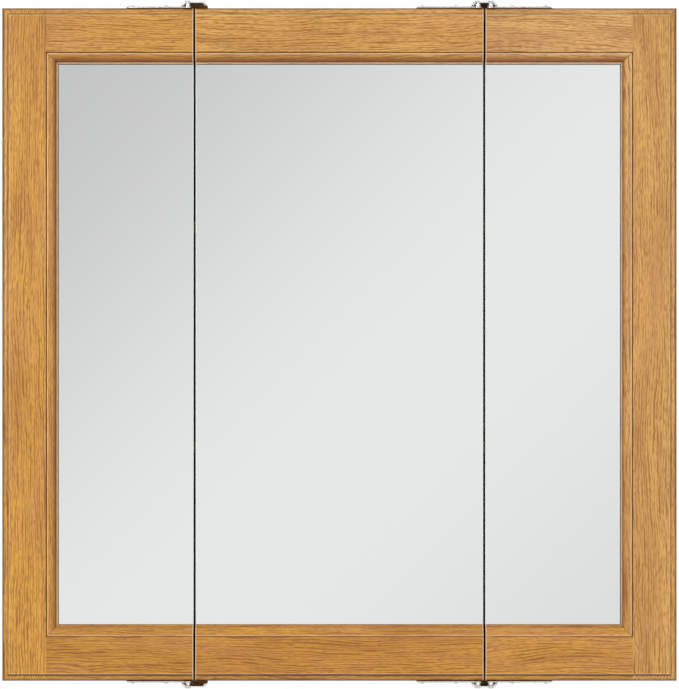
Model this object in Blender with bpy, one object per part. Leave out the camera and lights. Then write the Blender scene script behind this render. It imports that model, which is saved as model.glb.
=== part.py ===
"""Three-door bathroom medicine cabinet with mirrors, for hanging on a wall, at its real size.

A shallow box holds two loose shelves. Three overlay doors share one oak moulding that runs round all
of them and is cut through at the two gaps, so a side door has one stile and the centre door has none.
Every door swings on a pivot at its top and bottom edge: the left gap's pivots carry the left door, and
the right gap's pivots carry the centre door and the right door.

Axes: +X is to the right seen from the front, +Z is up, and the doors face -Y.
Origin: the centre of the box's rear face, in the plane of the wall.
A depth is a distance behind the front face of the closed doors. All sizes are in metres.
"""

import math

import bmesh
import bpy
from mathutils import Matrix, Vector

# Overall sizes
FACE_W = 0.762  # the three closed doors, side to side
FACE_H = 0.760  # the doors' height, which the box shares
OVERALL_D = 0.12065  # from the wall to the doors' front face

# Clearances
SEAT_GAP = 0.0003  # between pieces that touch
RUN_GAP = 0.0003  # round a pin in its hole
SWING_GAP = 0.0005  # between a swinging door and the door beside it
BACK_RUN = 0.0012  # between a swinging door's rear corner and the box
LOOSE_GAP = 0.001  # round a piece that is dropped or slid into place
CUT = 0.001  # how far a cutter runs past the face that it cuts

# Doors
SIDE_DOOR_W = 0.216
DOOR_T = 0.019
MIRROR_T = 0.003

# Door moulding, measured inwards from the doors' outer edge and back from their face
FRAME_W = 0.0635
FLAT_END = 0.050  # where the flat face ends and the moulded inner edge begins
BEAD_W = 0.0070  # rounded outer edge, with the small step beside it
BEAD_STEP = 0.0012
BEAD_R = 0.0056
QUIRK = 0.0010  # step down from the flat face to the moulded inner edge
OVOLO_D = 0.0056  # how deep the quarter round of the inner edge falls
FILLET_W = 0.0027  # flat strip next to the mirror
FILLET_STEP = 0.0006
LIP_D = 0.010  # depth of the rebate's front wall, which the mirror sits against
REBATE_W = 0.009
BEAD_STEPS = 5
OVOLO_STEPS = 7

# Box
SIDE_REVEAL = 0.006  # how far the doors stand out past each side of the box
PANEL_T = 0.0127
BACK_T = 0.0032
BACK_LAND = 0.007  # how far the back panel runs into the rebate round the box
RAIL_H = 0.050
RAIL_T = 0.0127
WALL_SCREW_R = 0.0028
WALL_SCREW_PITCH = 0.4064  # the inner holes, on two studs of a framed wall
WALL_SCREW_EDGE = 0.045  # the outer holes, in from the ends of the hanging rail

# Shelves and their pins
SHELF_T = 0.0127
SHELF_SETBACK = 0.004
SHELF_PIN_Z = (-0.125, 0.125)
PIN_R = 0.0025
PIN_SUNK = 0.008
PIN_PEG = 0.0075
PIN_COLLAR_R = 0.0042
PIN_COLLAR_T = 0.0010
PIN_INSET = 0.020  # in from the box's front edge, and from the back panel
PIN_ROW_PITCH = 0.032
PIN_ROWS = 5  # holes for each shelf, with the shelf in the middle one

# Hinges: heights are measured outwards from the doors' top or bottom edge
PIVOT_INSET = 0.0062  # from the door's hinged side edge to the pivot's axis
PIVOT_DEPTH = 0.0052
PIVOT_R = 0.0020
SHOULDER_R = 0.0033
SHOULDER_H = 0.0029
HEAD_R = 0.0036
HEAD_H = 0.0014
HEAD_ROUND = 0.0007
STRAP_T = 0.0017
STRAP_REACH = 0.0696  # from the pivot to the strap's far end
STRAP_BOSS_R = 0.0046
STRAP_FRONT = 0.0012  # how far the arm lies in front of the pivot
STRAP_BACK = 0.0098  # how far it lies behind the pivot
STRAP_NECK = 0.010  # from the pivot to where the arm has its full width
STRAP_CORNER_R = 0.0025
STRAP_SCREWS = (0.0246, 0.0626)  # along the strap, from the pivot
SCREW_HOLE_R = 0.0021
BRIDGE_T = 0.0012
BRIDGE_ROOM = 0.0003  # beside the pivots' shoulders, inside the nose's folded sides
BRIDGE_FLARE = 0.0025  # how far each folded side slopes outwards
BRIDGE_NOSE_GAP = 0.0002  # how far the nose stays behind the doors' face
BRIDGE_NOSE_CORNER = 0.0015
BRIDGE_OVERHANG = 0.0005  # how far the raised nose runs on over the box before it slopes down
BRIDGE_RAMP = 0.009
BRIDGE_REACH = 0.052  # how far it lies on the box, behind the box's front edge
BRIDGE_SCREWS = (0.021, 0.042)  # behind the box's front edge
BRIDGE_SIDE_GAP = 0.0006  # under the nose's folded sides, over the straps

# Screws
SCREW_HEAD_R = 0.0034
SCREW_HEAD_H = 0.0020
SCREW_SHANK_R = 0.0016
SCREW_SHANK_L = 0.0105
SCREW_HOLE_SPARE = 0.0005  # past the screw's tip

# Magnetic catches under the top panel, and their strike plates on the doors
CATCH_W = 0.026
CATCH_D = 0.0145
CATCH_H = 0.0100
CATCH_CORNER = 0.0015
CATCH_FACE_W = 0.018
CATCH_FACE_H = 0.0036
CATCH_FACE_D = 0.0010
CATCH_FROM_EDGE = 0.032  # on the centre door, from its free edge to the catch's centre
MAGNET_GAP = 0.0006
STRIKE_W = 0.024
STRIKE_H = 0.0085
STRIKE_T = 0.0012
STRIKE_CORNER = 0.0012
STRIKE_HOLE_R = 0.0017

# Facets of the round pieces
FINE_ROUND = 20
ROUND = 16
SMALL_ROUND = 12
CORNER_STEPS = 3

# What follows from them
DOOR_GAP = math.hypot(PIVOT_INSET, PIVOT_DEPTH) - PIVOT_INSET + SWING_GAP
CENTRE_DOOR_W = FACE_W - 2 * (SIDE_DOOR_W + DOOR_GAP)
BEHIND_PIVOT = DOOR_T - PIVOT_DEPTH
DOOR_STANDOFF = math.hypot(PIVOT_INSET, BEHIND_PIVOT) - BEHIND_PIVOT + BACK_RUN
FACE_Y = -OVERALL_D
DOOR_BACK_Y = FACE_Y + DOOR_T
BOX_FRONT_Y = DOOR_BACK_Y + DOOR_STANDOFF
INSIDE_BACK_Y = -BACK_T - SEAT_GAP
BOX_W = FACE_W - 2 * SIDE_REVEAL
INSIDE_X = BOX_W / 2 - PANEL_T
INSIDE_Z = FACE_H / 2 - PANEL_T
PIVOT_Y = FACE_Y + PIVOT_DEPTH
GAP_X = (CENTRE_DOOR_W + DOOR_GAP) / 2  # the middle of each gap between doors
PIVOT_FROM_GAP = PIVOT_INSET + DOOR_GAP / 2
BRIDGE_HALF_TOP = PIVOT_FROM_GAP + SHOULDER_R + BRIDGE_ROOM + BRIDGE_T
BRIDGE_HALF_BASE = BRIDGE_HALF_TOP + BRIDGE_FLARE
GLASS_INSET = FRAME_W - REBATE_W + LOOSE_GAP  # from the doors' outer edge to the mirror's hidden edge
MIRROR_DEPTH = LIP_D + SEAT_GAP
BACKING_DEPTH = MIRROR_DEPTH + MIRROR_T + SEAT_GAP

STRAP_TOP = SEAT_GAP + STRAP_T
SHOULDER_LOW = STRAP_TOP + SEAT_GAP
SHOULDER_TOP = SHOULDER_LOW + SHOULDER_H
BRIDGE_LOW = SHOULDER_TOP + SEAT_GAP
BRIDGE_TOP = BRIDGE_LOW + BRIDGE_T
HEAD_LOW = BRIDGE_TOP + SEAT_GAP

CATCH_FRONT_Y = DOOR_BACK_Y + SEAT_GAP + STRIKE_T + MAGNET_GAP
CATCH_Z = INSIDE_Z - SEAT_GAP - CATCH_H / 2
SIDE_CATCH_X = INSIDE_X - LOOSE_GAP - CATCH_W / 2

# Colour, roughness and metallic value
OAK = ((0.58, 0.30, 0.08), 0.42, 0.0)
LAMINATE = ((0.66, 0.42, 0.19), 0.50, 0.0)
HARDBOARD = ((0.24, 0.13, 0.06), 0.75, 0.0)
MIRROR = ((0.90, 0.92, 0.91), 0.03, 1.0)
STEEL = ((0.70, 0.69, 0.66), 0.25, 1.0)
PLASTIC = ((0.75, 0.73, 0.68), 0.40, 0.0)


def remove_old_objects():
    for old in list(bpy.data.objects):
        bpy.data.objects.remove(old, do_unlink=True)


def add_axis(name, location, parent=None):
    """An empty that carries the pieces of one rigid body, with its origin on the body's joint."""
    empty = bpy.data.objects.new(name, None)
    empty.empty_display_size = 0.05
    empty.location = location
    empty.parent = parent
    bpy.context.scene.collection.objects.link(empty)
    return empty


def add_piece(name, bm, finish, carrier):
    """An object from a bmesh made in world coordinates, with its origin on its carrier's."""
    bmesh.ops.recalc_face_normals(bm, faces=bm.faces[:])
    mesh = bpy.data.meshes.new(name)
    bm.to_mesh(mesh)
    bm.free()
    mesh.shade_smooth()
    mesh.set_sharp_from_angle(angle=math.radians(35))
    mesh.transform(Matrix.Translation(-carrier.location))
    material = bpy.data.materials.new(name)
    material.use_nodes = True
    shader = material.node_tree.nodes["Principled BSDF"]
    colour, roughness, metallic = finish
    shader.inputs["Base Color"].default_value = (*colour, 1.0)
    shader.inputs["Roughness"].default_value = roughness
    shader.inputs["Metallic"].default_value = metallic
    mesh.materials.append(material)
    piece = bpy.data.objects.new(name, mesh)
    piece.parent = carrier
    bpy.context.scene.collection.objects.link(piece)
    return piece


def cut(piece, cutter_bm, operation="DIFFERENCE"):
    """Cut a piece with a hidden cutter made in world coordinates, or keep only what it shares with it."""
    bmesh.ops.recalc_face_normals(cutter_bm, faces=cutter_bm.faces[:])
    number = len(piece.modifiers) + 1
    mesh = bpy.data.meshes.new(f"{piece.name}_cutter_{number}")
    cutter_bm.to_mesh(mesh)
    cutter_bm.free()
    cutter = bpy.data.objects.new(mesh.name, mesh)
    cutter.hide_render = True
    cutter.display_type = "WIRE"
    bpy.context.scene.collection.objects.link(cutter)
    modifier = piece.modifiers.new(f"Cut {number}", "BOOLEAN")
    modifier.object = cutter
    modifier.operation = operation
    modifier.solver = "EXACT"


def add_block(bm, low, high):
    """Add a rectangular block between two opposite corners."""
    low, high = Vector(low), Vector(high)
    matrix = Matrix.LocRotScale((low + high) / 2, None, high - low)
    bmesh.ops.create_cube(bm, size=1.0, matrix=matrix)


def add_loft(bm, sections):
    """Add the closed solid through a row of outlines that all have the same number of points."""
    rings = [[bm.verts.new(point) for point in section] for section in sections]
    bm.faces.new(rings[0])
    bm.faces.new(rings[-1])
    for ring, following in zip(rings, rings[1:]):
        for i in range(len(ring)):
            j = (i + 1) % len(ring)
            bm.faces.new((ring[i], ring[j], following[j], following[i]))


def add_turned(bm, profile, centre, axis, steps):
    """Add a solid turned round an axis through centre, from (radius, distance along the axis) pairs."""
    axis = Vector(axis).normalized()
    across = axis.orthogonal().normalized()
    other = axis.cross(across)
    turn = [2 * math.pi * (i + 0.5) / steps for i in range(steps)]
    sections = []
    for radius, along in profile:
        middle = Vector(centre) + axis * along
        sections.append([middle + (across * math.cos(a) + other * math.sin(a)) * radius for a in turn])
    add_loft(bm, sections)


def add_hole(bm, centre, axis, radius, near, far, steps):
    """Add a drill along an axis through centre, from near to far."""
    add_turned(bm, ((radius, near), (radius, far)), centre, axis, steps)


def rounded_outline(half_w, half_h, radius):
    """The corners of a rectangle with rounded corners, anticlockwise."""
    outline = []
    for quarter, (sx, sy) in enumerate(((1, 1), (-1, 1), (-1, -1), (1, -1))):
        for step in range(CORNER_STEPS + 1):
            angle = math.radians(90) * (quarter + step / CORNER_STEPS)
            x = sx * (half_w - radius) + radius * math.cos(angle)
            y = sy * (half_h - radius) + radius * math.sin(angle)
            outline.append((x, y))
    return outline


def moulding_profile():
    """The moulding's section as (distance in from the outer edge, depth) pairs."""
    profile = [(0.0, DOOR_T)]
    for step in range(BEAD_STEPS + 1):
        angle = math.radians(90) * step / BEAD_STEPS
        inwards = BEAD_R * (1 - math.cos(angle))
        depth = BEAD_STEP + BEAD_R * (1 - math.sin(angle))
        profile.append((inwards, depth))
    profile += [(BEAD_W, BEAD_STEP), (BEAD_W, 0.0), (FLAT_END, 0.0)]
    ovolo_w = FRAME_W - FILLET_W - FLAT_END
    for step in range(OVOLO_STEPS + 1):
        angle = math.radians(90) * step / OVOLO_STEPS
        profile.append((FLAT_END + ovolo_w * math.sin(angle), QUIRK + OVOLO_D * (1 - math.cos(angle))))
    fillet_d = QUIRK + OVOLO_D + FILLET_STEP
    profile += [(FRAME_W - FILLET_W, fillet_d), (FRAME_W, fillet_d), (FRAME_W, LIP_D)]
    profile += [(FRAME_W - REBATE_W, LIP_D), (FRAME_W - REBATE_W, DOOR_T)]
    return profile


def add_moulding_ring(bm):
    """Add the whole moulding that runs round the three doors."""
    rings = []
    for inwards, depth in moulding_profile():
        x, z = FACE_W / 2 - inwards, FACE_H / 2 - inwards
        corners = ((-x, -z), (x, -z), (x, z), (-x, z))
        rings.append([bm.verts.new((a, FACE_Y + depth, b)) for a, b in corners])
    for ring, following in zip(rings, rings[1:] + rings[:1]):
        for i in range(4):
            j = (i + 1) % 4
            bm.faces.new((ring[i], ring[j], following[j], following[i]))


def moulding_piece(name, outline, carrier):
    """The part of the moulding inside an outline of (x, z) points."""
    ring = bmesh.new()
    add_moulding_ring(ring)
    piece = add_piece(name, ring, OAK, carrier)
    keep = bmesh.new()
    ends = (FACE_Y - CUT, DOOR_BACK_Y + CUT)
    add_loft(keep, [[(x, y, z) for x, z in outline] for y in ends])
    cut(piece, keep, "INTERSECT")
    return piece


def add_stile(name, side, carrier):
    """A stile: its flat face runs the door's full height, and its moulded edge is mitred at both ends."""
    outer = FACE_W / 2 + CUT
    joint = FACE_W / 2 - FLAT_END
    inner = FACE_W / 2 - FRAME_W - CUT
    end = FACE_H / 2 + CUT
    corner = FACE_H / 2 - FLAT_END
    mitre = FACE_H / 2 - FRAME_W - CUT
    upper = [(outer, end), (joint, end), (joint, corner), (inner, mitre)]
    outline = upper + [(x, -z) for x, z in reversed(upper)]
    return moulding_piece(name, [(side * x, z) for x, z in outline], carrier)


def add_rail(name, end, left, right, stile_side, carrier):
    """A rail between two side edges. On the stile's side it is butted, with its moulded edge mitred."""
    nick = SEAT_GAP * math.tan(math.radians(22.5))
    turn_in = FLAT_END - nick
    inner = FRAME_W + CUT
    ends = {-1: left, 1: right}
    outline = []
    for side in (-1, 1):
        edge = ends[side]
        if side == stile_side:
            joint = FACE_W / 2 - FLAT_END - SEAT_GAP
            steps = [(side * joint, -CUT), (side * joint, turn_in), (side * (joint - inner + turn_in), inner)]
        else:
            steps = [(edge, -CUT), (edge, inner)]
        outline += steps if side < 0 else reversed(steps)
    return moulding_piece(name, [(x, end * (FACE_H / 2 - u)) for x, u in outline], carrier)


def add_glass_and_backing(name, left, right, carrier):
    """The mirror, and the board behind it that joins the rails."""
    top = FACE_H / 2 - GLASS_INSET
    for kind, finish, front, back in (
        ("mirror", MIRROR, MIRROR_DEPTH, MIRROR_DEPTH + MIRROR_T),
        ("backing", HARDBOARD, BACKING_DEPTH, DOOR_T),
    ):
        bm = bmesh.new()
        add_block(bm, (left, FACE_Y + front, -top), (right, FACE_Y + back, top))
        add_piece(f"{name}_{kind}", bm, finish, carrier)


def strap_outline(reach):
    """A strap's outline from above: +x runs along the arm from the pivot, and +y is depth."""
    neck = math.hypot(STRAP_NECK, STRAP_BACK)
    tangent = math.atan2(STRAP_BACK, STRAP_NECK) + math.acos(STRAP_BOSS_R / neck)
    throat = 2 * math.pi - math.asin(STRAP_FRONT / STRAP_BOSS_R)
    outline = []
    for step in range(SMALL_ROUND + 1):
        angle = tangent + (throat - tangent) * step / SMALL_ROUND
        outline.append((STRAP_BOSS_R * math.cos(angle), STRAP_BOSS_R * math.sin(angle)))
    for first, y in ((-90, -STRAP_FRONT + STRAP_CORNER_R), (0, STRAP_BACK - STRAP_CORNER_R)):
        for step in range(CORNER_STEPS + 1):
            angle = math.radians(first + 90 * step / CORNER_STEPS)
            x = reach - STRAP_CORNER_R + STRAP_CORNER_R * math.cos(angle)
            outline.append((x, y + STRAP_CORNER_R * math.sin(angle)))
    outline.append((STRAP_NECK, STRAP_BACK))
    return outline


def add_strap(name, end, pivot_x, outwards, carrier):
    """The steel strap on a door's edge. Its far end slopes down to the wood."""

    def place(x, y, height):
        return (pivot_x + outwards * x, PIVOT_Y + y, end * (FACE_H / 2 + height))

    levels = ((STRAP_REACH, SEAT_GAP), (STRAP_REACH - STRAP_T, STRAP_TOP))
    bm = bmesh.new()
    add_loft(bm, [[place(x, y, h) for x, y in strap_outline(reach)] for reach, h in levels])
    strap = add_piece(name, bm, STEEL, carrier)
    holes = bmesh.new()
    spots = [(0.0, 0.0, PIVOT_R + RUN_GAP)]
    spots += [(along, (STRAP_BACK - STRAP_FRONT) / 2, SCREW_HOLE_R) for along in STRAP_SCREWS]
    for along, y, radius in spots:
        add_hole(holes, place(along, y, 0.0), (0, 0, end), radius, -CUT, STRAP_TOP + CUT, ROUND)
    cut(strap, holes)


def add_pivot(name, end, pivot_x, carrier):
    """A shouldered stud: riveted through the bridge, and running in the strap's hole."""
    profile = (
        (PIVOT_R, SEAT_GAP),
        (PIVOT_R, SHOULDER_LOW),
        (SHOULDER_R, SHOULDER_LOW),
        (SHOULDER_R, SHOULDER_TOP),
        (PIVOT_R, SHOULDER_TOP),
        (PIVOT_R, HEAD_LOW),
        (HEAD_R, HEAD_LOW),
        (HEAD_R, HEAD_LOW + HEAD_H - HEAD_ROUND),
        (HEAD_R - HEAD_ROUND, HEAD_LOW + HEAD_H),
    )
    bm = bmesh.new()
    add_turned(bm, profile, (pivot_x, PIVOT_Y, end * FACE_H / 2), (0, 0, end), ROUND)
    add_piece(name, bm, STEEL, carrier)


def bridge_section(half_top, half_low, top, low, inside):
    """A bridge's section from the front, as (x, height) pairs: a flat top with its sides folded down."""
    outer = [(-half_low, low), (-half_top, top), (half_top, top), (half_low, low)]
    inner = [(half_low - BRIDGE_T, low), (half_top - BRIDGE_T, inside)]
    return outer + inner + [(-x, z) for x, z in reversed(inner)]


def add_bridge(name, end, gap_x, pivots, carrier):
    """The steel bridge screwed to the box, whose raised nose carries the pivots over the doors' edge."""
    half_top, half_low = BRIDGE_HALF_TOP, BRIDGE_HALF_BASE
    nick = BRIDGE_NOSE_CORNER
    side_low = STRAP_TOP + BRIDGE_SIDE_GAP
    base_top = SEAT_GAP + BRIDGE_T
    nose = bridge_section(half_top - nick, half_low - nick, BRIDGE_TOP, side_low, BRIDGE_LOW)
    raised = bridge_section(half_top, half_low, BRIDGE_TOP, side_low, BRIDGE_LOW)
    flat = bridge_section(half_low - SEAT_GAP, half_low, base_top, SEAT_GAP, SEAT_GAP)
    front = FACE_Y + BRIDGE_NOSE_GAP
    slope = BOX_FRONT_Y + BRIDGE_OVERHANG
    rows = [
        (front, nose),
        (front + nick, raised),
        (slope, raised),
        (slope + BRIDGE_RAMP, flat),
        (BOX_FRONT_Y + BRIDGE_REACH, flat),
    ]
    bm = bmesh.new()
    add_loft(bm, [[(gap_x + x, y, end * (FACE_H / 2 + z)) for x, z in section] for y, section in rows])
    bridge = add_piece(name, bm, STEEL, carrier)
    holes = bmesh.new()
    spots = [(x, PIVOT_Y, PIVOT_R + RUN_GAP) for x in pivots]
    spots += [(gap_x, BOX_FRONT_Y + back, SCREW_SHANK_R + RUN_GAP) for back in BRIDGE_SCREWS]
    for x, y, radius in spots:
        add_hole(holes, (x, y, end * FACE_H / 2), (0, 0, end), radius, -CUT, BRIDGE_TOP + CUT, ROUND)
    cut(bridge, holes)


def add_screw(name, centre, axis, carrier):
    """A pan-head screw. The centre is on the wood's surface, and the plate lies between wood and head."""
    seat = SEAT_GAP + BRIDGE_T + SEAT_GAP
    tip = seat - SCREW_SHANK_L
    profile = (
        (SCREW_SHANK_R / 4, tip),
        (SCREW_SHANK_R, tip + 2 * SCREW_SHANK_R),
        (SCREW_SHANK_R, seat),
        (SCREW_HEAD_R, seat),
        (SCREW_HEAD_R, seat + SCREW_HEAD_H / 3),
        (SCREW_HEAD_R * 0.8, seat + SCREW_HEAD_H * 0.85),
        (SCREW_HEAD_R * 0.4, seat + SCREW_HEAD_H),
    )
    bm = bmesh.new()
    add_turned(bm, profile, centre, axis, SMALL_ROUND)
    add_piece(name, bm, STEEL, carrier)


def add_door(name, left, right, stile_side, hinge_side, box):
    """One door with its straps, and the pivots that they turn on."""
    hinged_edge = right if hinge_side > 0 else left
    pivot_x = hinged_edge - hinge_side * PIVOT_INSET
    door = add_axis(name, (pivot_x, PIVOT_Y, 0.0))
    for word, end in (("top", 1), ("bottom", -1)):
        add_rail(f"{name}_{word}_rail", end, left, right, stile_side, door)
        add_strap(f"{name}_{word}_strap", end, pivot_x, -hinge_side, door)
        add_pivot(f"{name}_{word}_pivot", end, pivot_x, box)
    glass_left, glass_right = left, right
    if stile_side:
        add_stile(f"{name}_stile", stile_side, door)
    if stile_side < 0:
        glass_left = left + GLASS_INSET
    if stile_side > 0:
        glass_right = right - GLASS_INSET
    add_glass_and_backing(name, glass_left, glass_right, door)
    if stile_side:
        catch_x = stile_side * SIDE_CATCH_X
    else:
        catch_x = left + CATCH_FROM_EDGE
    add_strike(f"{name}_strike", catch_x, door)
    add_catch(f"{name}_catch", catch_x, box)
    return pivot_x


def add_strike(name, x, door):
    """The steel plate on a door's back that the magnet holds."""
    bm = bmesh.new()
    outline = rounded_outline(STRIKE_W / 2, STRIKE_H / 2, STRIKE_CORNER)
    front = DOOR_BACK_Y + SEAT_GAP
    add_loft(bm, [[(x + a, y, CATCH_Z + b) for a, b in outline] for y in (front, front + STRIKE_T)])
    strike = add_piece(name, bm, STEEL, door)
    hole = bmesh.new()
    add_hole(hole, (x, front, CATCH_Z), (0, 1, 0), STRIKE_HOLE_R, -CUT, STRIKE_T + CUT, SMALL_ROUND)
    cut(strike, hole)


def add_catch(name, x, box):
    """The magnetic catch under the top panel, with its magnet's plates set back in a slot."""
    bm = bmesh.new()
    outline = rounded_outline(CATCH_W / 2, CATCH_H / 2, CATCH_CORNER)
    ends = (CATCH_FRONT_Y, CATCH_FRONT_Y + CATCH_D)
    add_loft(bm, [[(x + a, y, CATCH_Z + b) for a, b in outline] for y in ends])
    catch = add_piece(name, bm, PLASTIC, box)
    slot = bmesh.new()
    half_w, half_h = CATCH_FACE_W / 2, CATCH_FACE_H / 2
    add_block(
        slot,
        (x - half_w, CATCH_FRONT_Y - CUT, CATCH_Z - half_h),
        (x + half_w, CATCH_FRONT_Y + CATCH_FACE_D, CATCH_Z + half_h),
    )
    cut(catch, slot)


def add_gap_hinges(word, gap_x, pivots, box):
    """The top and bottom bridges of one gap between doors, with their screws."""
    for place, end in (("top", 1), ("bottom", -1)):
        name = f"hinge_bridge_{word}_{place}"
        add_bridge(name, end, gap_x, pivots, box)
        for number, back in enumerate(BRIDGE_SCREWS, 1):
            centre = (gap_x, BOX_FRONT_Y + back, end * FACE_H / 2)
            add_screw(f"{name}_screw_{number}", centre, (0, 0, end), box)


def pin_columns():
    return (BOX_FRONT_Y + PIN_INSET, INSIDE_BACK_Y - PIN_INSET)


def add_side_panel(name, side, box):
    """A side of the box, with the back panel's rebate and the rows of shelf-pin holes."""
    bm = bmesh.new()
    inner, outer = sorted((side * INSIDE_X, side * BOX_W / 2))
    add_block(bm, (inner, BOX_FRONT_Y, -FACE_H / 2), (outer, 0.0, FACE_H / 2))
    panel = add_piece(name, bm, LAMINATE, box)
    tools = bmesh.new()
    rebate = (side * (INSIDE_X - CUT), side * (INSIDE_X + BACK_LAND + SEAT_GAP))
    rebate_top = INSIDE_Z + BACK_LAND + SEAT_GAP
    add_block(tools, (min(rebate), INSIDE_BACK_Y, -rebate_top), (max(rebate), CUT, rebate_top))
    for shelf_z in SHELF_PIN_Z:
        for row in range(PIN_ROWS):
            z = shelf_z + (row - PIN_ROWS // 2) * PIN_ROW_PITCH
            for y in pin_columns():
                centre = (side * INSIDE_X, y, z)
                depth = PIN_SUNK + SEAT_GAP
                add_hole(tools, centre, (side, 0, 0), PIN_R + RUN_GAP, -CUT, depth, SMALL_ROUND)
    cut(panel, tools)


def add_end_panel(name, end, box):
    """The top or bottom of the box, between the sides, with the bridges' screw holes."""
    bm = bmesh.new()
    half = INSIDE_X - SEAT_GAP
    low, high = sorted((end * INSIDE_Z, end * FACE_H / 2))
    add_block(bm, (-half, BOX_FRONT_Y, low), (half, 0.0, high))
    panel = add_piece(name, bm, LAMINATE, box)
    tools = bmesh.new()
    rebate = (end * (INSIDE_Z - CUT), end * (INSIDE_Z + BACK_LAND + SEAT_GAP))
    add_block(tools, (-half - CUT, INSIDE_BACK_Y, min(rebate)), (half + CUT, CUT, max(rebate)))
    depth = SCREW_SHANK_L - BRIDGE_T - 2 * SEAT_GAP + SCREW_HOLE_SPARE
    for gap_x in (-GAP_X, GAP_X):
        for back in BRIDGE_SCREWS:
            centre = (gap_x, BOX_FRONT_Y + back, end * FACE_H / 2)
            add_hole(tools, centre, (0, 0, -end), SCREW_SHANK_R + RUN_GAP, -CUT, depth, SMALL_ROUND)
    cut(panel, tools)


def add_back(box):
    """The thin back panel in the box's rebate, and the hanging rail that takes the wall screws."""
    half_x, half_z = INSIDE_X + BACK_LAND, INSIDE_Z + BACK_LAND
    bm = bmesh.new()
    add_block(bm, (-half_x, -BACK_T, -half_z), (half_x, 0.0, half_z))
    back = add_piece("back_panel", bm, HARDBOARD, box)
    rail_half = INSIDE_X - SEAT_GAP
    rail_top = INSIDE_Z - SEAT_GAP
    rail_front = INSIDE_BACK_Y - RAIL_T
    bm = bmesh.new()
    add_block(bm, (-rail_half, rail_front, rail_top - RAIL_H), (rail_half, INSIDE_BACK_Y, rail_top))
    rail = add_piece("hanging_rail", bm, LAMINATE, box)
    inner = WALL_SCREW_PITCH / 2
    outer = rail_half - WALL_SCREW_EDGE
    for piece in (back, rail):
        drills = bmesh.new()
        for x in (-outer, -inner, inner, outer):
            centre = (x, 0.0, rail_top - RAIL_H / 2)
            add_hole(drills, centre, (0, -1, 0), WALL_SCREW_R, -CUT, CUT - rail_front, SMALL_ROUND)
        cut(piece, drills)


def add_shelf(name, pin_z, box):
    """A loose shelf on four pins."""
    end_gap = SEAT_GAP + PIN_COLLAR_T + SEAT_GAP
    half = INSIDE_X - end_gap
    low = pin_z + PIN_R + SEAT_GAP
    bm = bmesh.new()
    front, back = BOX_FRONT_Y + SHELF_SETBACK, INSIDE_BACK_Y - LOOSE_GAP
    add_block(bm, (-half, front, low), (half, back, low + SHELF_T))
    add_piece(name, bm, LAMINATE, box)
    profile = (
        (PIN_R * 0.8, -PIN_SUNK),
        (PIN_R, -PIN_SUNK + PIN_R * 0.2),
        (PIN_R, SEAT_GAP),
        (PIN_COLLAR_R, SEAT_GAP),
        (PIN_COLLAR_R, SEAT_GAP + PIN_COLLAR_T),
        (PIN_R, SEAT_GAP + PIN_COLLAR_T),
        (PIN_R, SEAT_GAP + PIN_COLLAR_T + PIN_PEG),
    )
    for side_word, side in (("left", -1), ("right", 1)):
        for depth_word, y in zip(("front", "back"), pin_columns()):
            bm = bmesh.new()
            add_turned(bm, profile, (side * INSIDE_X, y, pin_z), (-side, 0, 0), SMALL_ROUND)
            add_piece(f"{name}_pin_{side_word}_{depth_word}", bm, STEEL, box)


def build():
    remove_old_objects()
    box = add_axis("cabinet", (0.0, 0.0, 0.0))
    add_side_panel("side_panel_left", -1, box)
    add_side_panel("side_panel_right", 1, box)
    add_end_panel("top_panel", 1, box)
    add_end_panel("bottom_panel", -1, box)
    add_back(box)
    for name, pin_z in zip(("shelf_lower", "shelf_upper"), SHELF_PIN_Z):
        add_shelf(name, pin_z, box)
    half_w, centre_half = FACE_W / 2, CENTRE_DOOR_W / 2
    left = add_door("left_door", -half_w, SIDE_DOOR_W - half_w, -1, 1, box)
    centre = add_door("centre_door", -centre_half, centre_half, 0, 1, box)
    right = add_door("right_door", half_w - SIDE_DOOR_W, half_w, 1, -1, box)
    add_gap_hinges("left", -GAP_X, (left,), box)
    add_gap_hinges("right", GAP_X, (centre, right), box)
    bpy.context.view_layer.update()


build()
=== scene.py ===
"""The looks of the three-door mirrored medicine cabinet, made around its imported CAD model.

Metres, +Z up, doors facing -Y. A depth is a distance behind the closed doors' face, and a height
next to a hinge is measured outwards from the doors' top or bottom edge.
"""

import math
import random

import bmesh
import bpy
from mathutils import Matrix, Vector


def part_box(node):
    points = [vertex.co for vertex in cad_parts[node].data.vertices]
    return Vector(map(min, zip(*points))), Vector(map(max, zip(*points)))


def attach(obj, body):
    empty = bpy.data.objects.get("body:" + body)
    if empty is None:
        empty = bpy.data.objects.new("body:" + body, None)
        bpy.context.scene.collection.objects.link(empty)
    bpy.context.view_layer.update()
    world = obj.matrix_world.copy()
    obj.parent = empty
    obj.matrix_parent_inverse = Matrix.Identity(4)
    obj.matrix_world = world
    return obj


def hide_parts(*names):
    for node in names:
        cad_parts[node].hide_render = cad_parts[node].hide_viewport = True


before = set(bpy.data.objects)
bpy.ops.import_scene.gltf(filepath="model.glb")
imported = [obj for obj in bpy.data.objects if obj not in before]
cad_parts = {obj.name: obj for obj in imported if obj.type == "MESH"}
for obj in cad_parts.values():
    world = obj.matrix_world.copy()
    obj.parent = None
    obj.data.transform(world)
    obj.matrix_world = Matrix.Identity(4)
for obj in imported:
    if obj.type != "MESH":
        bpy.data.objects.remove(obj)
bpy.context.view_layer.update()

# The CAD model's own planes and edges
STILE_LOW, STILE_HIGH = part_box("left_door_stile")
CENTRE_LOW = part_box("centre_door_top_rail")[0]
SIDE_LOW, SIDE_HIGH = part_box("side_panel_right")
TOP_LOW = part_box("top_panel")[0]
HALF_W = -STILE_LOW.x
HALF_H = STILE_HIGH.z
FACE_Y = STILE_LOW.y
DOOR_BACK_Y = STILE_HIGH.y
DOOR_T = DOOR_BACK_Y - FACE_Y
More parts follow.
